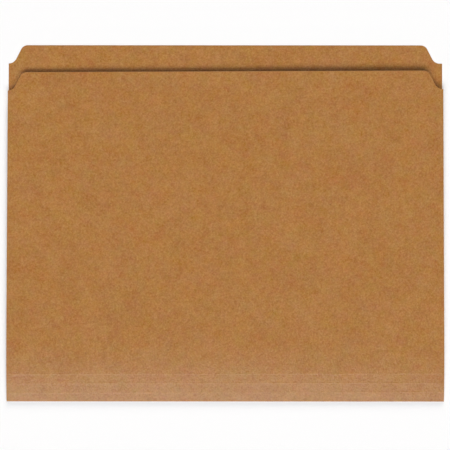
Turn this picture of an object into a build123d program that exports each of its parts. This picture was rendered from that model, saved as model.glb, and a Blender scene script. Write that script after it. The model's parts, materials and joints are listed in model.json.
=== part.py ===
# Letter-size file folder with a straight-cut tab, closed and lying on its back leaf.
# It is one sheet of kraft board, die cut, scored and folded once.
# Millimetres and degrees. +X runs along the fold, +Y from the fold to the tab, +Z up.
# The origin is the middle of the footprint, on the surface that the folder lies on.
import os
from math import degrees, pi, radians, tan

from build123d import *

# Sheet
BOARD = 0.28
WIDTH = 295.3
BACK_LEAF = 242.1
FRONT_LEAF = 223.85

# Straight-cut tab
TAB_DEPTH = 12.5
TAB_ROOT = 2.0
TAB_SLOPE = 62.7
SHOULDER_LEFT = 3.7
SHOULDER_RIGHT = 5.35
SHOULDER_RADIUS = 5.9
TAB_RADIUS = 4.8

# Fold and expansion scores
FOLD_BORE = 0.96
SCORES = 3
SCORE_PITCH = 6.35
BEAD_RISE = 0.08
RUN_GAP = 0.1

# Spring of the closed front leaf
FOLD_TILT = 8.5
SCORE_EASE = 1.5
BEND_LENGTH = 45.0
LEAF_TILT = 0.3

# Worked out from the sizes above
FOLD_MEAN = (FOLD_BORE + BOARD) / 2
FOLD_TURN = 180 - FOLD_TILT
BEAD_RADIUS = BOARD / 2 + BEAD_RISE
HEEL = BOARD + RUN_GAP
BACK_FLAT = BACK_LEAF - FOLD_MEAN * pi / 2
FIRST_STRIP = SCORE_PITCH - FOLD_MEAN * radians(90 - FOLD_TILT)
BEND_TURN = FOLD_TILT - SCORES * SCORE_EASE - LEAF_TILT
BEND_RADIUS = BEND_LENGTH / radians(BEND_TURN)
TAB_NODE = TAB_DEPTH + TAB_ROOT
FRONT_FLAT = FRONT_LEAF - SCORES * SCORE_PITCH - BEND_LENGTH - TAB_NODE
FOLD_Y = (FOLD_MEAN + BOARD / 2 - BACK_FLAT) / 2
FOLD_Z = BOARD / 2 + FOLD_MEAN

FROM_EDGE = (Align.CENTER, Align.MIN, Align.CENTER)
FOLD_AXIS = Pos(0, FOLD_Y, FOLD_Z)
BACK_EDGE = Pos(0, FOLD_Y, BOARD / 2)


def flat_board(length):
    """Full-width board that starts at the origin and runs along +Y, centred on its thickness."""
    return Box(WIDTH, length, BOARD, align=FROM_EDGE)


def rolled_board(mean_radius, start, turn):
    """Full-width board rolled about the X axis, from one angle in the YZ plane through a turn."""
    outer = CenterArc((0, 0), mean_radius + BOARD / 2, start, turn)
    inner = CenterArc((0, 0), mean_radius - BOARD / 2, start, turn)
    rim = [outer, Line(outer @ 1, inner @ 1), inner, Line(inner @ 0, outer @ 0)]
    return extrude(Plane.YZ * make_face(rim), WIDTH / 2, both=True)


def crosswise_rod(radius):
    """Rod along the X axis, as long as the fold."""
    return Rot(0, 90, 0) * Cylinder(radius, WIDTH)


def tab_board():
    """Tab with sloped ends and rounded shoulders, from its root at the origin along +Y."""
    half = WIDTH / 2
    slope_run = TAB_DEPTH / tan(radians(TAB_SLOPE))
    shoulder_reach = tan(radians(TAB_SLOPE / 2))
    left_radius = min(SHOULDER_RADIUS, 0.98 * SHOULDER_LEFT / shoulder_reach)
    right_radius = min(SHOULDER_RADIUS, 0.98 * SHOULDER_RIGHT / shoulder_reach)
    corners = [
        (-half, 0),
        (-half, TAB_ROOT),
        (-half + SHOULDER_LEFT, TAB_ROOT),
        (-half + SHOULDER_LEFT + slope_run, TAB_NODE),
        (half - SHOULDER_RIGHT - slope_run, TAB_NODE),
        (half - SHOULDER_RIGHT, TAB_ROOT),
        (half, TAB_ROOT),
        (half, 0),
    ]
    radii = [0, 0, left_radius, TAB_RADIUS, TAB_RADIUS, right_radius, 0, 0]
    outline = FilletPolyline(*corners, radius=radii, close=True)
    return extrude(make_face(outline), BOARD / 2, both=True)


def bottom_fold():
    """Rolled spine of the sheet, with a short flat heel that meets the back panel."""
    clear = degrees((BOARD / 2 + RUN_GAP) / FOLD_MEAN)
    roll = FOLD_AXIS * rolled_board(FOLD_MEAN, 270, clear - FOLD_TURN)
    return roll + BACK_EDGE * flat_board(HEEL)


def back_leaf():
    """Panel that lies on the table and the tab beyond it."""
    panel_length = BACK_FLAT - HEEL - TAB_NODE
    panel_start = BACK_EDGE * Pos(0, HEEL, 0)
    return {
        "back_panel": panel_start * flat_board(panel_length),
        "back_tab": panel_start * Pos(0, panel_length, 0) * tab_board(),
    }


def expansion_strips():
    """Strips between the fold and the scores, each with its score bead, and the last score's place."""
    nodes = {}
    place = FOLD_AXIS * Rot(FOLD_TILT, 0, 0) * Pos(0, 0, FOLD_MEAN)
    print("spine axis", place.position)
    lead = 0
    for number in range(1, SCORES + 1):
        pitch = SCORE_PITCH if lead else FIRST_STRIP
        strip = Pos(0, lead, 0) * flat_board(pitch - lead - BEAD_RADIUS)
        rounded_edge = [] if lead else [crosswise_rod(BOARD / 2)]
        nodes[f"expansion_strip_{number}"] = place * strip.fuse(*rounded_edge)
        place *= Pos(0, pitch, 0)
        nodes[f"score_bead_{number}"] = place * crosswise_rod(BEAD_RADIUS)
        print(f"score {number} axis", place.position)
        place *= Rot(-SCORE_EASE, 0, 0)
        lead = BEAD_RADIUS + RUN_GAP
    return nodes, place


def front_leaf(place):
    """Panel that springs up from the last score and eases flat, and the tab beyond it."""
    lead = degrees((BEAD_RADIUS + RUN_GAP) / BEND_RADIUS)
    centre = place * Pos(0, 0, -BEND_RADIUS)
    bend = centre * rolled_board(BEND_RADIUS, 90 - lead, lead - BEND_TURN)
    flat = centre * Rot(-BEND_TURN, 0, 0) * Pos(0, 0, BEND_RADIUS)
    tab_start = flat * Pos(0, FRONT_FLAT, 0)
    return {
        "front_panel": bend + flat * flat_board(FRONT_FLAT),
        "front_tab": tab_start * tab_board(),
    }


def main():
    """Build every node of the folder and write each to its own file."""
    strips, last_score = expansion_strips()
    nodes = {"bottom_fold": bottom_fold(), **back_leaf(), **strips, **front_leaf(last_score)}
    print("fold axis", FOLD_AXIS.position)
    os.makedirs("parts", exist_ok=True)
    for name, solid in nodes.items():
        export_step(solid, f"parts/{name}.step")


main()
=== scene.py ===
"""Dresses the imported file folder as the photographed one: natural kraft board, closed, lying flat.

The folder is one die-cut sheet. Each stretch of it is made as a flat closed board in sheet positions,
which are across the fold, along the sheet from the back tab's edge, and through the board. A node tree
then lays every stretch along the same fold path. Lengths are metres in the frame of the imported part.
"""
import json
import logging
import math
from dataclasses import dataclass, field
from enum import Enum
from functools import cached_property

import bpy
import numpy as np
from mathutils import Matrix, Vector


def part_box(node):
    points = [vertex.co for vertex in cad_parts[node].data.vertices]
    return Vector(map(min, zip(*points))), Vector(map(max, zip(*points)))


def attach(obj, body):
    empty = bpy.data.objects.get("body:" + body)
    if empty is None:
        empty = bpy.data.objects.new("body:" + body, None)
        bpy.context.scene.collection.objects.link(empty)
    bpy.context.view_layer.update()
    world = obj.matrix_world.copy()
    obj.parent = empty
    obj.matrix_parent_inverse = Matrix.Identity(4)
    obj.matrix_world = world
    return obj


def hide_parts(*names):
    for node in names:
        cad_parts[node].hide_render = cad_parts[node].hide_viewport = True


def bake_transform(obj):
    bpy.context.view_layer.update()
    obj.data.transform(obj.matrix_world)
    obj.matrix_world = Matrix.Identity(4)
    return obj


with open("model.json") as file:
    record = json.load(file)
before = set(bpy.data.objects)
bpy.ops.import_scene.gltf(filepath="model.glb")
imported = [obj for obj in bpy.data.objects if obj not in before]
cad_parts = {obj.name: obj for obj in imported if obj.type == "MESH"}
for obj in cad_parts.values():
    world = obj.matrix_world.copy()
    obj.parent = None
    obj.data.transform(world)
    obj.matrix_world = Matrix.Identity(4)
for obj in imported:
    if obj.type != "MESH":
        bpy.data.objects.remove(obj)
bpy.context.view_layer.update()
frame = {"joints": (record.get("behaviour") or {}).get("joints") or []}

LOG = logging.getLogger("folder")
MM = 0.001
ACROSS_FOLD = (1.0, 0.0, 0.0)
WHITE = (1.0, 1.0, 1.0, 1.0)

# Width of the picture in pixels, and of the camera's sensor in millimetres.
PICTURE_PIXELS = 450
SENSOR_MM = 36.0

# What every board carries for its material: place on the flat sheet, cut edges and ridges of the scores.
SHEET_ATTRIBUTE = "sheet"
CUT_ATTRIBUTE = "cut"
RIDGE_ATTRIBUTE = "ridge"

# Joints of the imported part: the fold's, and those of the spine and the scores, from the fold up.
FOLD_JOINT = "cover_open"
HINGE_JOINTS = ("spine_flatten", "score_1_fold", "score_2_fold", "score_3_fold")

# Middle of a noise texture's values, and of the board's tones.
MIDDLE = 0.5

# Numbers of a Mix node's sockets for colours, whose names stand for other kinds of value too.
MIX_A = 6
MIX_B = 7
MIX_COLOUR = 2


class LeafSide(Enum):
    """The two leaves of the folder, with the way the sheet runs from the fold to the tab."""

    BACK = -1
    FRONT = 1


def linear(hex_colour: str) -> tuple[float, float, float, float]:
    """Turn an sRGB hex colour into linear RGBA.

    Args:
        hex_colour: Colour written as #RRGGBB.

    Returns:
        Linear red, green and blue, and an alpha of 1.
    """
    parts = [int(hex_colour[start:start + 2], 16) / 255 for start in (1, 3, 5)]
    levels = [c / 12.92 if c <= 0.04045 else ((c + 0.055) / 1.055) ** 2.4 for c in parts]
    return (*levels, 1.0)


def add_node(
    tree: bpy.types.NodeTree,
    kind: str,
    settings: dict[str, object] | None = None,
    inputs: dict[str | int, object] | None = None,
) -> bpy.types.Node:
    """Add a node with its settings and links.

    Args:
        tree: Tree that the node goes into.
        kind: Blender's name for the node's type.
        settings: Values of the node's own properties.
        inputs: For each input, by name or number, the output that feeds it or its fixed value.

    Returns:
        The new node.
    """
    node = tree.nodes.new(kind)
    for name, value in (settings or {}).items():
        setattr(node, name, value)
    for key, source in (inputs or {}).items():
        if isinstance(source, bpy.types.NodeSocket):
            tree.links.new(source, node.inputs[key])
        else:
            node.inputs[key].default_value = source
    return node


def add_object(name: str, data: bpy.types.ID) -> bpy.types.Object:
    """Add an object to the scene.

    Args:
        name: Name of the object.
        data: Its mesh, curve, lamp or lens.

    Returns:
        The new object, at the origin.
    """
    made = bpy.data.objects.new(name, data)
    bpy.context.scene.collection.objects.link(made)
    return made


def add_material(name: str) -> bpy.types.Material:
    """Add a material with an empty tree.

    Args:
        name: Name of the material.

    Returns:
        The new material.
    """
    made = bpy.data.materials.new(name)
    made.use_nodes = True
    made.node_tree.nodes.clear()
    return made


@dataclass(frozen=True)
class Mottle:
    """One scale of the pulp's mottling: the size of its spots, and how far they move the tone."""

    size_mm: float
    depth: float


@dataclass(frozen=True)
class KraftBoard:
    """Natural kraft board: unbleached wood pulp, machine made and calendered to a low sheen.

    The pulp leaves a fine mottled grain in every size, faint clouds of hue, pale strands and specks of
    bark. The calender presses only the tops of the fibres smooth, so the gloss is weak but fairly sharp.
    The strands are a tenth of a millimetre wide on the real board and are drawn coarser, so that they show.
    The ridges of the scores are paler, partly as rubbed fibre and partly as a painted highlight.
    The palest pulp of a cut edge frays to the colour of raw board.

    A strand has a length and a width, is turned by radians, and rises between the two values of noise of
    its crest. Fraying grows between two tones. The patterns change faster through the board than along it,
    by the spread of its plies.
    """

    dark: str = "#9C632A"
    pale: str = "#B5834B"
    bark: str = "#7A4A28"
    raw_edge: str = "#C9A57C"
    mottles: tuple[Mottle, ...] = (
        Mottle(24.0, 0.16),
        Mottle(11.5, 0.20),
        Mottle(5.7, 0.26),
        Mottle(2.9, 0.36),
        Mottle(1.5, 0.58),
        Mottle(0.8, 0.95),
    )
    hue_mm: float = 12.0
    hue_detail: float = 3.0
    hue_grain: float = 0.95
    hue_shift: tuple[float, float, float] = (0.12, 0.075, 0.05)
    strand_mm: tuple[float, float] = (5.0, 0.55)
    strand_turns: tuple[float, ...] = (0.2, 1.2, 2.3)
    strand_crest: tuple[float, float] = (0.58, 0.76)
    strand_depth: float = 0.25
    bark_spacing_mm: float = 5.5
    bark_mm: float = 0.9
    bark_depth: float = 0.45
    # How much paler the score ridges are drawn: partly rubbed fibre, partly a painted highlight.
    rub_and_highlight: float = 0.19
    fray_tone: tuple[float, float] = (0.1, 0.7)
    fray_depth: float = 0.3
    ply_spread: float = 300.0
    ior: float = 1.5
    roughness: float = 0.22
    roughness_spread: float = 0.06
    gloss: float = 0.2
    relief_mm: float = 0.055

    def material(self) -> bpy.types.Material:
        """Build the board's material.

        Returns:
            The material, which reads its place on the flat sheet from the mesh.
        """
        made = add_material("kraft_board_calendered")
        tree = made.node_tree
        place = self._place(tree)
        tone = self._tone(tree, place)
        rough = add_node(tree, "ShaderNodeMath", {"operation": "MULTIPLY_ADD"}, {
            0: tone, 1: -self.roughness_spread, 2: self.roughness + self.roughness_spread / 2,
        })
        bump = add_node(tree, "ShaderNodeBump", None, {
            "Strength": 1.0, "Distance": self.relief_mm * MM, "Height": tone,
        })
        shader = add_node(tree, "ShaderNodeBsdfPrincipled", None, {
            "Base Color": self._colour(tree, place, tone), "Roughness": rough.outputs[0], "IOR": self.ior,
            "Specular IOR Level": self.gloss, "Normal": bump.outputs[0],
        })
        add_node(tree, "ShaderNodeOutputMaterial", None, {"Surface": shader.outputs[0]})
        return made

    def _place(self, tree: bpy.types.NodeTree) -> bpy.types.NodeSocket:
        """Read the place on the flat sheet, spread through the board so that its two faces differ.

        Args:
            tree: The material's tree.

        Returns:
            The place on the flat sheet.
        """
        sheet = add_node(tree, "ShaderNodeAttribute", {"attribute_name": SHEET_ATTRIBUTE})
        spread = add_node(tree, "ShaderNodeMapping", None, {
            "Vector": sheet.outputs["Vector"], "Scale": (1.0, 1.0, self.ply_spread),
        })
        return spread.outputs[0]

    def _tone(self, tree: bpy.types.NodeTree, place: bpy.types.NodeSocket) -> bpy.types.NodeSocket:
        """Add up the mottles, the strands and the paler score ridges, partly a painted highlight.

        Args:
            tree: The material's tree.
            place: Place on the flat sheet.

        Returns:
            The board's tone, from 0 for the darkest pulp to 1 for the palest.
        """
        tone: float | bpy.types.NodeSocket = MIDDLE * (1 - sum(mottle.depth for mottle in self.mottles))
        for mottle in self.mottles:
            spots = add_node(tree, "ShaderNodeTexNoise", None, {
                "Vector": place, "Scale": 1 / (mottle.size_mm * MM), "Detail": 0.0,
            })
            tone = add_node(tree, "ShaderNodeMath", {"operation": "MULTIPLY_ADD"}, {
                0: spots.outputs[0], 1: mottle.depth, 2: tone,
            }).outputs[0]
        # The score ridges are drawn paler: partly rubbed fibre, partly a painted highlight.
        ridge = add_node(tree, "ShaderNodeAttribute", {"attribute_name": RIDGE_ATTRIBUTE})
        strands_and_ridge_highlight = add_node(tree, "ShaderNodeMath", {"operation": "MULTIPLY_ADD"}, {
            0: ridge.outputs["Fac"], 1: self.rub_and_highlight, 2: self._strands(tree, place),
        })
        return add_node(tree, "ShaderNodeMath", {"operation": "ADD"}, {
            0: tone, 1: strands_and_ridge_highlight.outputs[0],
        }).outputs[0]

    def _strands(self, tree: bpy.types.NodeTree, place: bpy.types.NodeSocket) -> bpy.types.NodeSocket:
        """Draw the pale strands of pulp, in a few directions.

        Args:
            tree: The material's tree.
            place: Place on the flat sheet.

        Returns:
            How much each point lies on a strand, times the depth of the strands.
        """
        length, width = self.strand_mm
        foot, top = self.strand_crest
        strands: float | bpy.types.NodeSocket = 0.0
        for turn in self.strand_turns:
            along = add_node(tree, "ShaderNodeMapping", {"vector_type": "TEXTURE"}, {
                "Vector": place, "Rotation": (0.0, 0.0, turn), "Scale": (length * MM, width * MM, 1.0),
            })
            noise = add_node(tree, "ShaderNodeTexNoise", None, {
                "Vector": along.outputs[0], "Scale": 1.0, "Detail": 1.0,
            })
            crest = add_node(tree, "ShaderNodeMapRange", {"interpolation_type": "SMOOTHSTEP"}, {
                "Value": noise.outputs[0], "From Min": foot, "From Max": top, "To Max": self.strand_depth,
            })
            strands = add_node(tree, "ShaderNodeMath", {"operation": "MAXIMUM"}, {
                0: crest.outputs[0], 1: strands,
            }).outputs[0]
        return strands

    def _colour(
        self,
        tree: bpy.types.NodeTree,
        place: bpy.types.NodeSocket,
        tone: bpy.types.NodeSocket,
    ) -> bpy.types.NodeSocket:
        """Mix the pulp's tones, clouds of hue, bark and pale cut edge.

        Args:
            tree: The material's tree.
            place: Place on the flat sheet.
            tone: The board's tone.

        Returns:
            The board's colour.
        """
        toned = add_node(tree, "ShaderNodeMix", {"data_type": "RGBA"}, {
            "Factor": tone, MIX_A: linear(self.dark), MIX_B: linear(self.pale),
        })
        cloud = add_node(tree, "ShaderNodeTexNoise", None, {
            "Vector": place, "Scale": 1 / (self.hue_mm * MM),
            "Detail": self.hue_detail, "Roughness": self.hue_grain,
        })
        hue = add_node(tree, "ShaderNodeVectorMath", {"operation": "SUBTRACT"}, {
            0: cloud.outputs["Color"], 1: (MIDDLE, MIDDLE, MIDDLE),
        })
        clouded = add_node(tree, "ShaderNodeVectorMath", {"operation": "MULTIPLY_ADD"}, {
            0: hue.outputs[0], 1: self.hue_shift, 2: toned.outputs[MIX_COLOUR],
        })
        specked = add_node(tree, "ShaderNodeMix", {"data_type": "RGBA"}, {
            "Factor": self._specks(tree, place), MIX_A: clouded.outputs[0], MIX_B: linear(self.bark),
        })
        cut = add_node(tree, "ShaderNodeAttribute", {"attribute_name": CUT_ATTRIBUTE})
        worn = add_node(tree, "ShaderNodeMath", {"operation": "MULTIPLY"}, {
            0: cut.outputs["Fac"], 1: tone,
        })
        fray_start, fray_end = self.fray_tone
        frayed = add_node(tree, "ShaderNodeMapRange", {"interpolation_type": "SMOOTHSTEP"}, {
            "Value": worn.outputs[0], "From Min": fray_start, "From Max": fray_end,
            "To Max": self.fray_depth,
        })
        edged = add_node(tree, "ShaderNodeMix", {"data_type": "RGBA"}, {
            "Factor": frayed.outputs[0], MIX_A: specked.outputs[MIX_COLOUR], MIX_B: linear(self.raw_edge),
        })
        return edged.outputs[MIX_COLOUR]

    def _specks(self, tree: bpy.types.NodeTree, place: bpy.types.NodeSocket) -> bpy.types.NodeSocket:
        """Scatter specks of bark of uneven size.

        Args:
            tree: The material's tree.
            place: Place on the flat sheet.

        Returns:
            How much each point is covered by a speck.
        """
        cells = add_node(tree, "ShaderNodeTexVoronoi", None, {
            "Vector": place, "Scale": 1 / (self.bark_spacing_mm * MM),
        })
        chance = add_node(tree, "ShaderNodeSeparateColor", None, {"Color": cells.outputs["Color"]})
        reach = add_node(tree, "ShaderNodeMath", {"operation": "MULTIPLY"}, {
            0: chance.outputs[0], 1: self.bark_mm / self.bark_spacing_mm,
        })
        speck = add_node(tree, "ShaderNodeMapRange", {"interpolation_type": "SMOOTHSTEP"}, {
            "Value": cells.outputs["Distance"], "From Min": 0.0, "From Max": reach.outputs[0],
            "To Min": self.bark_depth, "To Max": 0.0,
        })
        return speck.outputs[0]


@dataclass(frozen=True)
class WhitePaper:
    """Uncoated white paper: its matt face scatters all light, so it shows soft shadows and no gloss."""

    colour: str = "#FEFEFE"
    roughness: float = 0.9
    gloss: float = 0.0

    def material(self) -> bpy.types.Material:
        """Build the paper's material.

        Returns:
            The material, the same all over.
        """
        made = add_material("white_paper_matt")
        tree = made.node_tree
        shader = add_node(tree, "ShaderNodeBsdfPrincipled", None, {
            "Base Color": linear(self.colour), "Roughness": self.roughness,
            "Specular IOR Level": self.gloss,
        })
        add_node(tree, "ShaderNodeOutputMaterial", None, {"Surface": shader.outputs[0]})
        return made


@dataclass(frozen=True)
class SheetSizes:
    """Sizes of the sheet and places of its folds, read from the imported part."""

    width: float
    board: float
    fold: Vector
    hinges: tuple[Vector, ...]
    back_edge: float
    front_edge: float

    @classmethod
    def from_frame(cls) -> "SheetSizes":
        """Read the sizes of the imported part.

        Returns:
            The sizes.
        """
        low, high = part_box("back_panel")
        axes = {joint["name"]: Vector(joint["pos_m"]) for joint in frame["joints"]}
        return cls(
            width=high.x - low.x,
            board=high.z - low.z,
            fold=axes[FOLD_JOINT],
            hinges=tuple(axes[name] for name in HINGE_JOINTS),
            back_edge=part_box("back_tab")[1].y,
            front_edge=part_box("front_tab")[1].y,
        )


@dataclass(frozen=True)
class FoldPath:
    """Line that the middle of the board follows, from the back tab's edge round the fold to the front's.

    The board turns over the length of a crease at each score. Past the last score the front leaf eases
    from the slope at which it leaves to its own slope, along the length of the bend.
    """

    sizes: SheetSizes
    crease: float = 1.9 * MM
    bend: float = 45 * MM
    bend_ease: float = 2.2
    bend_knots: int = 16
    leave_tilt: float = math.radians(4.7)
    leaf_tilt: float = math.radians(0.41)
    step: float = 0.05 * MM

    @property
    def roll(self) -> float:
        """Radius of the fold at the middle of the board."""
        return self.sizes.fold.z - self.sizes.board / 2

    @property
    def roll_start(self) -> float:
        """Where the flat back leaf ends and the roll of the fold begins."""
        return self.sizes.back_edge - self.sizes.fold.y

    @property
    def apex(self) -> float:
        """The fold's outermost line, from which both leaves are measured."""
        return self.roll_start + self.roll * math.pi / 2

    @cached_property
    def tilts(self) -> list[float]:
        """Work out the slopes of the strips, and of the front leaf where it leaves the last score.

        Returns:
            The slopes, from the first strip up.
        """
        hinges = self.sizes.hinges
        slopes = [math.atan2(b.z - a.z, b.y - a.y) for a, b in zip(hinges, hinges[1:])]
        return [*slopes, self.leave_tilt]

    @cached_property
    def stations(self) -> list[float]:
        """Work out where the spine and the scores lie.

        Returns:
            Their distances along the sheet, from the spine up.
        """
        hinges = self.sizes.hinges
        places = [self.roll_start + self.roll * (math.pi - self.tilts[0])]
        for a, b in zip(hinges, hinges[1:]):
            places.append(places[-1] + (b - a).length)
        return places

    @cached_property
    def points(self) -> tuple[np.ndarray, np.ndarray, np.ndarray]:
        """Work out the path by following its heading, for the length of two back leaves.

        Returns:
            Distances along the sheet, and the path's y and z there.
        """
        turns = [(0.0, math.pi), (self.roll_start, math.pi), (self.stations[0], self.tilts[0])]
        for place, before, after in zip(self.stations[1:], self.tilts, self.tilts[1:]):
            turns += [(place - self.crease / 2, before), (place + self.crease / 2, after)]
        for share in np.linspace(0, 1, self.bend_knots)[1:]:
            left = (self.leave_tilt - self.leaf_tilt) * (1 - share) ** self.bend_ease
            turns.append((self.stations[-1] + self.bend * share, self.leaf_tilt + left))
        along = np.arange(0.0, 2 * self.apex, self.step)
        middle = along[:-1] + self.step / 2
        heading = np.interp(middle, *zip(*turns))
        y = np.concatenate([[0.0], np.cumsum(np.cos(heading))]) * self.step
        z = np.concatenate([[0.0], np.cumsum(np.sin(heading))]) * self.step
        y += self.sizes.back_edge
        z += self.sizes.board / 2
        return along, y, z

    @cached_property
    def end(self) -> float:
        """Work out where the front tab's edge lies.

        Returns:
            Its distance along the sheet.
        """
        along, y, _ = self.points
        front = along > self.apex
        return float(np.interp(self.sizes.front_edge, y[front], along[front]))

    def at(self, place: float) -> Vector:
        """Find a point of the path.

        Args:
            place: Distance along the sheet.

        Returns:
            The point, on the middle of the fold.
        """
        along, y, z = self.points
        return Vector((0.0, np.interp(place, along, y), np.interp(place, along, z)))

    def as_curve(self) -> bpy.types.Object:
        """Draw the path as a curve.

        Returns:
            The curve's object.
        """
        _, y, z = self.points
        curve = bpy.data.curves.new("fold_path", "CURVE")
        curve.dimensions = "3D"
        spline = curve.splines.new("POLY")
        spline.points.add(len(y) - 1)
        spline.points.foreach_set("co", np.stack([0 * y, y, z, 0 * y + 1], axis=1).ravel())
        return add_object("fold_path", curve)


@dataclass(frozen=True)
class TabOutline:
    """Straight-cut tab with sloped ends, hollow shoulders and rounded corners.

    Its depth is from the shoulders to the top edge, and left and right are the widths of the shoulders.
    """

    depth: float = 12.5 * MM
    slope: float = math.radians(63.4)
    shoulder_radius: float = 5.9 * MM
    corner_radius: float = 4.8 * MM
    left: float = 3.5 * MM
    right: float = 5.15 * MM

    def drop(self, inset: np.ndarray, shoulder: float) -> np.ndarray:
        """Work out how far one end's cut lies below the tab's top edge.

        Args:
            inset: Distances from the side of the sheet.
            shoulder: Width of the shoulder at that end.

        Returns:
            The drop at each distance, from the tab's depth at the side to 0 along the top.
        """
        hollow, corner = self.shoulder_radius, self.corner_radius
        half_turn = math.tan(self.slope / 2)
        hollow_start = shoulder - hollow * half_turn
        hollow_end = hollow_start + hollow * math.sin(self.slope)
        corner_end = shoulder + self.depth / math.tan(self.slope) + corner * half_turn
        corner_start = corner_end - corner * math.sin(self.slope)
        in_hollow = np.sqrt(np.maximum(hollow ** 2 - (inset - hollow_start) ** 2, 0))
        in_corner = np.sqrt(np.maximum(corner ** 2 - (corner_end - inset) ** 2, 0))
        rise = np.select(
            [inset < hollow_start, inset < hollow_end, inset < corner_start, inset < corner_end],
            [0 * inset, hollow - in_hollow, (inset - shoulder) * math.tan(self.slope),
             self.depth - corner + in_corner],
            self.depth,
        )
        return self.depth - rise

    def edge(self, across: np.ndarray, width: float) -> np.ndarray:
        """Drop of the cut below the top edge at places across the whole sheet."""
        return self.drop(across + width / 2, self.left) + self.drop(width / 2 - across, self.right)


@dataclass
class Blank:
    """Flat stretch of the sheet: a grid of places on it, and how much each lies on a cut edge."""

    across: np.ndarray
    along: np.ndarray
    cut: np.ndarray

    @classmethod
    def between(cls, across: np.ndarray, along: np.ndarray) -> "Blank":
        """Lay out a stretch between two lines across the sheet.

        Args:
            across: Places across the sheet, from side to side.
            along: Places along the sheet, in order: one for a straight row, or one for each place across.

        Returns:
            The stretch, cut along its two sides.
        """
        grid_across, grid_along = np.broadcast_arrays(across, along.reshape(len(along), -1))
        cut = np.zeros(grid_across.shape)
        cut[:, [0, -1]] = 1.0
        return cls(grid_across, grid_along, cut)

    def mesh(self, name: str, board: float, crush: float) -> bpy.types.Mesh:
        """Make the stretch a closed board.

        Args:
            name: Name of the mesh.
            board: Thickness of the board.
            crush: How far the die presses each face down at a cut edge.

        Returns:
            The board, flat, with its outer face up.
        """
        count = self.across.size
        index = np.arange(count).reshape(self.across.shape)
        lift = board / 2 - crush * self.cut
        outer = np.stack([self.across, self.along, lift], axis=-1).reshape(-1, 3)
        inner = outer * (1, 1, -1)
        corners = [index[:-1, :-1], index[:-1, 1:], index[1:, 1:], index[1:, :-1]]
        quads = np.stack(corners, axis=-1).reshape(-1, 4)
        ring = np.concatenate([index[0, :-1], index[:-1, -1], index[-1, :0:-1], index[:0:-1, 0]])
        after = np.roll(ring, -1)
        rim = np.stack([after, ring, ring + count, after + count], axis=-1)
        faces = np.concatenate([quads, quads[:, ::-1] + count, rim])
        made = bpy.data.meshes.new(name)
        made.from_pydata(np.concatenate([outer, inner]).tolist(), [], faces.tolist())
        cut = made.attributes.new(CUT_ATTRIBUTE, "FLOAT", "POINT")
        cut.data.foreach_set("value", np.tile(self.cut.ravel(), 2).astype(np.float32))
        return made


@dataclass(frozen=True)
class LeafSpring:
    """How the closed front leaf springs: its left side lies lower, and it is a little askew and uneven.

    All three grow along the leaf from the last score to the tab, by the power of the ease.
    """

    left_drop: float = 1.4 * MM
    ease: float = 1.6
    askew: float = math.radians(0.22)
    waviness: float = 0.25 * MM
    wave_size: float = 95 * MM
    seed: float = 7.0


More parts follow.
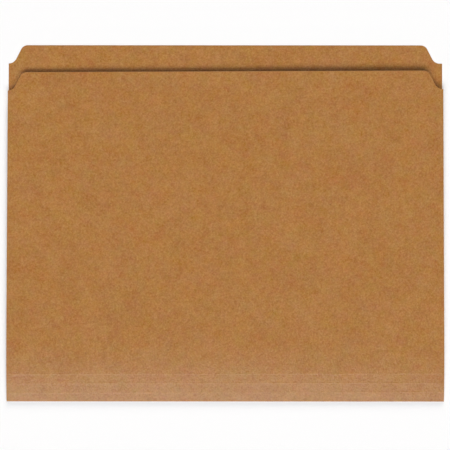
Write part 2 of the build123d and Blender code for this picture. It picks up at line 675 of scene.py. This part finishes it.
@dataclass
class FoldPress:
    """Lays flat stretches of the sheet along the fold path.

    The die crushes the board a little at its cut edges, and the scores stand up as ridges that run
    slightly askew to the fold.
    """

    path: FoldPath
    finish: bpy.types.Material
    spring: LeafSpring = field(default_factory=LeafSpring)
    ridge_height: float = 0.012 * MM
    ridge_width: float = 1.2 * MM
    score_slant: float = math.radians(0.12)
    crush: float = 0.03 * MM
    sharp_angle: float = math.radians(40)

    def __post_init__(self) -> None:
        """Draw the path and build the tree that lays boards along it."""
        self.line = self.path.as_curve()
        self.tree = bpy.data.node_groups.new("lay_board_along_fold", "GeometryNodeTree")
        self._add_sockets()
        self._add_nodes()

    @property
    def values(self) -> dict[str, object]:
        """Gather what the tree is given.

        Returns:
            The value of each of its inputs, by name.
        """
        path, spring, stations = self.path, self.spring, self.path.stations
        return {
            "Fold Path": self.line,
            "Finish": self.finish,
            "First Score": stations[1],
            "Score Pitch": stations[2] - stations[1],
            "Last Score": float(len(stations) - 2),
            "Ridge Height": self.ridge_height,
            "Ridge Reach": self.ridge_width / 2,
            "Score Slant": self.score_slant,
            "Leaf Start": stations[-1] + path.crease,
            "Leaf End": path.end,
            "Half Width": path.sizes.width / 2,
            "Left Drop": spring.left_drop,
            "Spring Ease": spring.ease,
            "Askew": spring.askew,
            "Waviness": spring.waviness,
            "Wave Scale": 1 / spring.wave_size,
            "Seed": spring.seed,
        }

    def _add_sockets(self) -> None:
        """Give the tree its board, its named inputs and its output."""
        kinds = {bpy.types.Object: "NodeSocketObject", bpy.types.Material: "NodeSocketMaterial"}
        sockets = self.tree.interface
        sockets.new_socket("Board", in_out="INPUT", socket_type="NodeSocketGeometry")
        for name, value in self.values.items():
            kind = kinds.get(type(value), "NodeSocketFloat")
            sockets.new_socket(name, in_out="INPUT", socket_type=kind)
        sockets.new_socket("Board", in_out="OUTPUT", socket_type="NodeSocketGeometry")

    def _add_nodes(self) -> None:
        """Add the nodes that store each point's place on the sheet and move it to the path."""
        tree = self.tree
        given = add_node(tree, "NodeGroupInput").outputs
        place = add_node(tree, "GeometryNodeInputPosition").outputs[0]
        flat = add_node(tree, "ShaderNodeSeparateXYZ", None, {0: place}).outputs
        ridge = self._ridge(given, flat)
        known = add_node(tree, "GeometryNodeStoreNamedAttribute", {"data_type": "FLOAT_VECTOR"}, {
            "Geometry": given["Board"], "Name": SHEET_ATTRIBUTE, "Value": place,
        })
        stored = add_node(tree, "GeometryNodeStoreNamedAttribute", {"data_type": "FLOAT"}, {
            "Geometry": known.outputs[0], "Name": RIDGE_ATTRIBUTE, "Value": ridge,
        })
        line = add_node(tree, "GeometryNodeObjectInfo", None, {"Object": given["Fold Path"]})
        spot = add_node(tree, "GeometryNodeSampleCurve", {"mode": "LENGTH"}, {
            "Curves": line.outputs["Geometry"], "Length": flat[1],
        }).outputs
        outward = add_node(tree, "ShaderNodeVectorMath", {"operation": "CROSS_PRODUCT"}, {
            0: ACROSS_FOLD, 1: spot["Tangent"],
        })
        stand = add_node(tree, "ShaderNodeMath", {"operation": "MULTIPLY_ADD"}, {
            0: ridge, 1: given["Ridge Height"], 2: flat[2],
        })
        on_face = add_node(tree, "ShaderNodeVectorMath", {"operation": "MULTIPLY_ADD"}, {
            0: outward.outputs[0], 1: stand.outputs[0], 2: spot["Position"],
        })
        moved = add_node(tree, "ShaderNodeVectorMath", {"operation": "ADD"}, {
            0: on_face.outputs[0], 1: self._shift(given, place, flat),
        })
        laid = add_node(tree, "GeometryNodeSetPosition", None, {
            "Geometry": stored.outputs[0], "Position": moved.outputs[0],
        })
        real = add_node(tree, "GeometryNodeRealizeInstances", None, {0: laid.outputs[0]})
        dressed = add_node(tree, "GeometryNodeSetMaterial", None, {
            "Geometry": real.outputs[0], "Material": given["Finish"],
        })
        add_node(tree, "NodeGroupOutput", None, {0: dressed.outputs[0]})

    def _ridge(self, given: bpy.types.NodeOutputs, flat: bpy.types.NodeOutputs) -> bpy.types.NodeSocket:
        """Add the nodes that find the ridge of each score.

        Args:
            given: The tree's inputs.
            flat: Place on the flat sheet as three numbers.

        Returns:
            How much each point lies on a ridge, from 0 beside it to 1 on its crest.
        """
        tree = self.tree
        score_line = add_node(tree, "ShaderNodeMath", {"operation": "MULTIPLY_ADD"}, {
            0: flat[0], 1: given["Score Slant"], 2: given["First Score"],
        })
        past = add_node(tree, "ShaderNodeMath", {"operation": "SUBTRACT"}, {
            0: flat[1], 1: score_line.outputs[0],
        })
        share = add_node(tree, "ShaderNodeMath", {"operation": "DIVIDE"}, {
            0: past.outputs[0], 1: given["Score Pitch"],
        })
        nearest = add_node(tree, "ShaderNodeMath", {"operation": "ROUND"}, {0: share.outputs[0]})
        score = add_node(tree, "ShaderNodeClamp", None, {
            "Value": nearest.outputs[0], "Min": 0.0, "Max": given["Last Score"],
        })
        apart = add_node(tree, "ShaderNodeMath", {"operation": "SUBTRACT"}, {
            0: share.outputs[0], 1: score.outputs[0],
        })
        gap = add_node(tree, "ShaderNodeMath", {"operation": "ABSOLUTE"}, {0: apart.outputs[0]})
        reach = add_node(tree, "ShaderNodeMath", {"operation": "MULTIPLY"}, {
            0: gap.outputs[0], 1: given["Score Pitch"],
        })
        ridge = add_node(tree, "ShaderNodeMapRange", {"interpolation_type": "SMOOTHSTEP"}, {
            "Value": reach.outputs[0], "From Max": given["Ridge Reach"], "To Min": 1.0, "To Max": 0.0,
        })
        return ridge.outputs[0]

    def _shift(
        self,
        given: bpy.types.NodeOutputs,
        place: bpy.types.NodeSocket,
        flat: bpy.types.NodeOutputs,
    ) -> bpy.types.NodeSocket:
        """Add the nodes that move a point across the fold and let the front leaf spring.

        Args:
            given: The tree's inputs.
            place: Place on the flat sheet.
            flat: The same place as three numbers.

        Returns:
            The way from the fold path to the point's place above or below it.
        """
        tree = self.tree
        grown = add_node(tree, "ShaderNodeMapRange", None, {
            "Value": flat[1], "From Min": given["Leaf Start"], "From Max": given["Leaf End"],
        })
        eased = add_node(tree, "ShaderNodeMath", {"operation": "POWER"}, {
            0: grown.outputs[0], 1: given["Spring Ease"],
        })
        left = add_node(tree, "ShaderNodeMath", {"operation": "MULTIPLY"}, {
            0: given["Half Width"], 1: -1.0,
        })
        side = add_node(tree, "ShaderNodeMapRange", None, {
            "Value": flat[0], "From Min": left.outputs[0], "From Max": given["Half Width"],
            "To Min": given["Left Drop"], "To Max": 0.0,
        })
        noise = add_node(tree, "ShaderNodeTexNoise", {"noise_dimensions": "4D"}, {
            "Vector": place, "W": given["Seed"], "Scale": given["Wave Scale"], "Detail": 0.0,
        })
        wave = add_node(tree, "ShaderNodeMath", {"operation": "MULTIPLY_ADD"}, {
            0: noise.outputs[0], 1: given["Waviness"], 2: side.outputs[0],
        })
        drop = add_node(tree, "ShaderNodeMath", {"operation": "MULTIPLY"}, {
            0: wave.outputs[0], 1: eased.outputs[0],
        })
        lower = add_node(tree, "ShaderNodeMath", {"operation": "MULTIPLY"}, {
            0: drop.outputs[0], 1: -1.0,
        })
        slant = add_node(tree, "ShaderNodeMath", {"operation": "MULTIPLY"}, {
            0: flat[0], 1: given["Askew"],
        })
        turned = add_node(tree, "ShaderNodeMath", {"operation": "MULTIPLY"}, {
            0: slant.outputs[0], 1: eased.outputs[0],
        })
        shift = add_node(tree, "ShaderNodeCombineXYZ", None, {
            0: flat[0], 1: turned.outputs[0], 2: lower.outputs[0],
        })
        return shift.outputs[0]

    def lay(self, name: str, blank: Blank) -> bpy.types.Object:
        """Lay a stretch of the sheet along the path.

        Args:
            name: Name of the piece.
            blank: The flat stretch.

        Returns:
            The piece, as a plain mesh in its place.
        """
        piece = add_object(name, blank.mesh(name, self.path.sizes.board, self.crush))
        modifier = piece.modifiers.new("lay", "NODES")
        modifier.node_group = self.tree
        sockets = [item for item in self.tree.interface.items_tree if item.in_out == "INPUT"]
        identifiers = {socket.name: socket.identifier for socket in sockets}
        for label, value in self.values.items():
            modifier[identifiers[label]] = value
        graph = bpy.context.evaluated_depsgraph_get()
        laid = bpy.data.meshes.new_from_object(
            piece.evaluated_get(graph), preserve_all_data_layers=True, depsgraph=graph
        )
        piece.modifiers.clear()
        flat = piece.data
        piece.data = laid
        bpy.data.meshes.remove(flat)
        laid.name = name
        laid.shade_smooth()
        laid.set_sharp_from_angle(angle=self.sharp_angle)
        return piece

    def lay_crease(
        self,
        name: str,
        across: np.ndarray,
        along: np.ndarray,
        before: str,
        after: str,
    ) -> bpy.types.Object:
        """Lay a crease where the sheet turns between two bodies.

        Args:
            name: Name of the piece.
            across: Places across the sheet, from side to side.
            along: Places along the sheet, in order.
            before: Not used.
            after: Not used.

        Returns:
            The crease.
        """
        crease = self.lay(name, Blank.between(across, along))
        self.path.at(along[0])
        self.path.at(along[-1])
        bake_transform(crease)
        return crease

    def clear(self) -> None:
        """Remove the path and the tree once every stretch is laid."""
        bpy.data.objects.remove(self.line)
        bpy.data.node_groups.remove(self.tree)


@dataclass
class Leaf:
    """One leaf of the folder, from where it leaves the fold or the last score to its tab.

    Its straight rows end at the tab's root, a little below the shoulders. The tab's rows are shares of the
    way from there to its cut.
    """

    press: FoldPress
    side: LeafSide
    across: np.ndarray
    start: float
    end: float
    tab: TabOutline = field(default_factory=TabOutline)
    root: float = 2 * MM
    row: float = 5 * MM
    tab_rows: tuple[float, ...] = (0.1, 0.2, 0.3, 0.4, 0.5, 0.6, 0.7, 0.8, 0.9, 0.97, 1.0)

    def build(self) -> bpy.types.Object:
        """Make the leaf, hang it on its body and let it stand for its panel and tab.

        Returns:
            The leaf.
        """
        name = self.side.name.lower()
        piece = self.press.lay(f"{name}_leaf_board", self._blank())
        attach(piece, f"{name}_leaf")
        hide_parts(f"{name}_panel", f"{name}_tab")
        return piece

    def _blank(self) -> Blank:
        """Lay out the leaf from the fold up, with its last rows drawn up to the tab's cut.

        Returns:
            The flat leaf, its rows in the order of the sheet.
        """
        way, width = self.side.value, self.press.path.sizes.width
        root = self.end - way * (self.tab.depth + self.root)
        straight = np.linspace(self.start, root, round(abs(root - self.start) / self.row) + 1)
        top = self.end - way * self.tab.edge(self.across, width)
        drawn = root + np.outer(self.tab_rows, top - root)
        rows = np.concatenate([np.repeat(straight[:, None], len(self.across), axis=1), drawn])
        leaf = Blank.between(self.across, rows)
        leaf.cut[-1] = 1.0
        return Blank(leaf.across[::way], leaf.along[::way], leaf.cut[::way])


@dataclass
class BottomFold:
    """The rolled fold along the bottom edge, and the short crease where the first strip leaves it.

    The roll takes in the last of the flat back leaf.
    """

    press: FoldPress
    across: np.ndarray
    lead: float = 0.05 * MM
    ease: float = 0.18
    spine_crease: float = 0.6 * MM
    rows: int = 48
    crease_rows: int = 8

    def build(self) -> list[bpy.types.Object]:
        """Make the roll and its crease.

        Returns:
            The two pieces.
        """
        path = self.press.path
        spine = path.stations[0]
        roll_rows = np.linspace(path.roll_start - self.lead, spine, self.rows)
        roll = self.press.lay("bottom_fold_roll", Blank.between(self.across, roll_rows))
        foot = path.at(path.roll_start)
        rise = Vector((0, 0, path.at(spine).z - foot.z))
        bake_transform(roll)
        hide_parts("bottom_fold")
        crease_rows = np.linspace(spine, spine + self.spine_crease, self.crease_rows)
        crease = self.press.lay_crease("spine_crease", self.across, crease_rows, "bottom_fold", "strip_1")
        return [roll, crease]


@dataclass
class ExpansionStrips:
    """The strips between the fold and the front leaf, and the pressed scores that let them turn."""

    press: FoldPress
    across: np.ndarray
    first_lead: float
    rows: int = 5
    crease_rows: int = 29

    def build(self) -> list[bpy.types.Object]:
        """Make each strip and the score beyond it.

        Returns:
            The strips and scores, from the fold up.
        """
        path = self.press.path
        half = path.crease / 2
        lead = self.first_lead
        bodies = [f"strip_{number}" for number in range(1, len(path.stations))] + ["front_leaf"]
        spans = zip(path.stations, path.stations[1:], bodies, bodies[1:])
        pieces = []
        for number, (start, score, body, beyond) in enumerate(spans, start=1):
            node = f"expansion_strip_{number}"
            strip_rows = np.linspace(start + lead, score - half, self.rows)
            lead = half
            strip = self.press.lay(f"{node}_board", Blank.between(self.across, strip_rows))
            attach(strip, body)
            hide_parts(node)
            crease_rows = np.linspace(score - half, score + half, self.crease_rows)
            crease = self.press.lay_crease(f"score_crease_{number}", self.across, crease_rows, body, beyond)
            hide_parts(f"score_bead_{number}")
            pieces += [strip, crease]
        return pieces


@dataclass
class Folder:
    """The whole folder, laid out as one sheet and built stretch by stretch."""

    path: FoldPath
    finish: bpy.types.Material
    tab_reach: float = 18 * MM
    edge_margin: float = 0.4 * MM
    tab_columns: int = 36
    middle_columns: int = 52
    front_right_shoulder: float = 4.05 * MM

    @property
    def across(self) -> np.ndarray:
        """Work out the places across the sheet, close together at the tab's curved ends.

        Returns:
            The places, from the left side to the right.
        """
        half = self.path.sizes.width / 2
        end = np.concatenate([[0.0], np.linspace(self.edge_margin, self.tab_reach, self.tab_columns)])
        middle = np.linspace(self.tab_reach - half, half - self.tab_reach, self.middle_columns)[1:-1]
        return np.concatenate([end - half, middle, half - end[::-1]])

    def build(self) -> list[bpy.types.Object]:
        """Build every piece of the folder.

        Returns:
            The pieces, in the order of the sheet.
        """
        path, across = self.path, self.across
        press = FoldPress(path, self.finish)
        fold = BottomFold(press, across)
        strips = ExpansionStrips(press, across, fold.spine_crease)
        back = Leaf(press, LeafSide.BACK, across, start=path.roll_start - fold.lead, end=0.0)
        front_start = path.stations[-1] + path.crease / 2
        front_tab = TabOutline(right=self.front_right_shoulder)
        front = Leaf(press, LeafSide.FRONT, across, start=front_start, end=path.end, tab=front_tab)
        pieces = [back.build(), *fold.build(), *strips.build(), front.build()]
        press.clear()
        return pieces


@dataclass(frozen=True)
class Softbox:
    """A large soft lamp, far away: where it stands, how wide it looks and its share of the light.

    It leans from straight above towards the fold, and turns from there to the right. Angles are degrees.
    """

    name: str
    lean: float
    turn: float
    spread: float
    share: float
    tint: str

    def build(self) -> None:
        """Add the lamp, at a strength that lights a level white surface to its share of white."""
        lean, turn = math.radians(self.lean), math.radians(self.turn)
        lamp = bpy.data.lights.new(self.name, "SUN")
        lamp.angle = math.radians(self.spread)
        lamp.energy = self.share * math.pi / math.cos(lean)
        lamp.color = linear(self.tint)[:3]
        out = math.sin(lean)
        towards = Vector((out * math.sin(turn), -out * math.cos(turn), math.cos(lean)))
        holder = add_object(self.name, lamp)
        holder.rotation_euler = towards.to_track_quat("Z", "Y").to_euler()


@dataclass
class Studio:
    """White sweep of paper, four softboxes, soft fill and the camera almost straight above.

    The camera tilts towards the fold and rolls by a little. These two angles are degrees, and its focal
    length is in pixels of the picture.
    """

    lamps: tuple[Softbox, ...] = (
        Softbox("left_softbox", lean=42.0, turn=-21.5, spread=27.0, share=0.248, tint="#FAFCFF"),
        Softbox("right_softbox", lean=42.8, turn=25.0, spread=27.0, share=0.248, tint="#FAFCFF"),
        Softbox("front_softbox", lean=26.5, turn=-4.0, spread=30.0, share=0.33, tint="#FAFCFF"),
        Softbox("far_softbox", lean=70.0, turn=174.0, spread=26.0, share=0.2, tint="#FFF3E4"),
    )
    fill: float = 0.012
    fill_tint: str = "#F4F9FF"
    paper: WhitePaper = WhitePaper()
    floor_size: float = 8.0
    floor_gap: float = 0.02 * MM
    camera_distance: float = 1.1
    camera_tilt: float = 2.299
    camera_roll: float = 0.034
    aim: tuple[float, float] = (-0.209 * MM, -1.600 * MM)
    focal_pixels: float = 1620.1

    def build(self) -> None:
        """Set up the floor, light, background and camera."""
        for lamp in self.lamps:
            lamp.build()
        self._floor()
        self._world()
        self._camera()
        bpy.context.scene.view_settings.view_transform = "Standard"

    def _floor(self) -> None:
        """Lay a sheet of white paper under the folder."""
        half = self.floor_size / 2
        corners = [(-half, -half), (half, -half), (half, half), (-half, half)]
        mesh = bpy.data.meshes.new("paper_sweep")
        mesh.from_pydata([(x, y, -self.floor_gap) for x, y in corners], [], [(0, 1, 2, 3)])
        mesh.materials.append(self.paper.material())
        add_object("paper_sweep", mesh)

    def _world(self) -> None:
        """Fill the shadows evenly, and show white to the camera and in reflections."""
        world = bpy.data.worlds.new("studio")
        world.use_nodes = True
        tree = world.node_tree
        tree.nodes.clear()
        ray = add_node(tree, "ShaderNodeLightPath").outputs
        seen = ray["Is Camera Ray"]
        for kind in ("Is Glossy Ray", "Is Transmission Ray"):
            either = add_node(tree, "ShaderNodeMath", {"operation": "MAXIMUM"}, {0: seen, 1: ray[kind]})
            seen = either.outputs[0]
        fill = add_node(tree, "ShaderNodeBackground", None, {
            "Color": linear(self.fill_tint), "Strength": self.fill,
        })
        white = add_node(tree, "ShaderNodeBackground", None, {"Color": WHITE, "Strength": 1.0})
        shown = add_node(tree, "ShaderNodeMixShader", None, {
            0: seen, 1: fill.outputs[0], 2: white.outputs[0],
        })
        add_node(tree, "ShaderNodeOutputWorld", None, {"Surface": shown.outputs[0]})
        bpy.context.scene.world = world

    def _camera(self) -> None:
        """Hang the camera over the folder, leaning a little towards the fold."""
        tilt, roll = math.radians(self.camera_tilt), math.radians(self.camera_roll)
        lens = bpy.data.cameras.new("camera")
        lens.sensor_width = SENSOR_MM
        lens.lens = self.focal_pixels * SENSOR_MM / PICTURE_PIXELS
        camera = add_object("camera", lens)
        x, y = self.aim
        camera.location = (
            x, y - self.camera_distance * math.sin(tilt), self.camera_distance * math.cos(tilt),
        )
        camera.rotation_euler = (tilt, 0.0, roll)
        bpy.context.scene.camera = camera


def main() -> None:
    """Build the folder, report its pieces, then build its studio."""
    logging.basicConfig(level=logging.INFO, format="%(name)s %(message)s")
    path = FoldPath(SheetSizes.from_frame())
    for piece in Folder(path, KraftBoard().material()).build():
        LOG.info("%s: %d faces", piece.name, len(piece.data.polygons))
    Studio().build()


if __name__ == "__main__":
    main()
